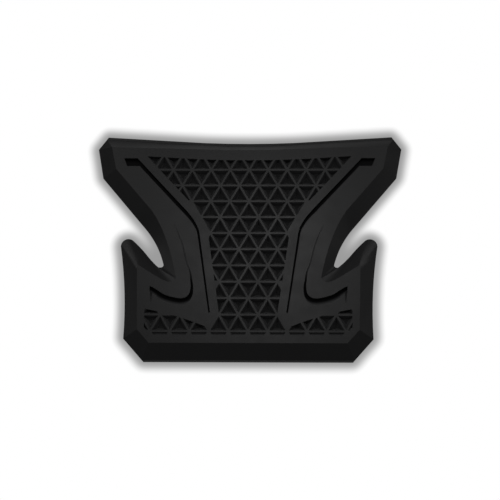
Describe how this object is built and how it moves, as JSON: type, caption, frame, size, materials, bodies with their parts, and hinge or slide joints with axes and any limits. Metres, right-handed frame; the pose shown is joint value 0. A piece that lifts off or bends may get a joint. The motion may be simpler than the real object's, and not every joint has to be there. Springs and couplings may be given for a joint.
{
  "type": "motorcycle tank pad",
  "caption": "Moulded rubber fuel-tank protector with a triangle-lattice centre panel, sloping border and two hooked side wings.",
  "frame": {"origin": "on the flat back, under the middle of the pad's bounding box", "axes": "+X to the right across the wings, +Y towards the wide upper edge, +Z out of the patterned face"},
  "size_m": [0.2, 0.1508, 0.0055],
  "materials": {
    "rubber": "satin"
  },
  "bodies": {
    "root": {"tank_pad": "rubber"}
  },
  "joints": []
}
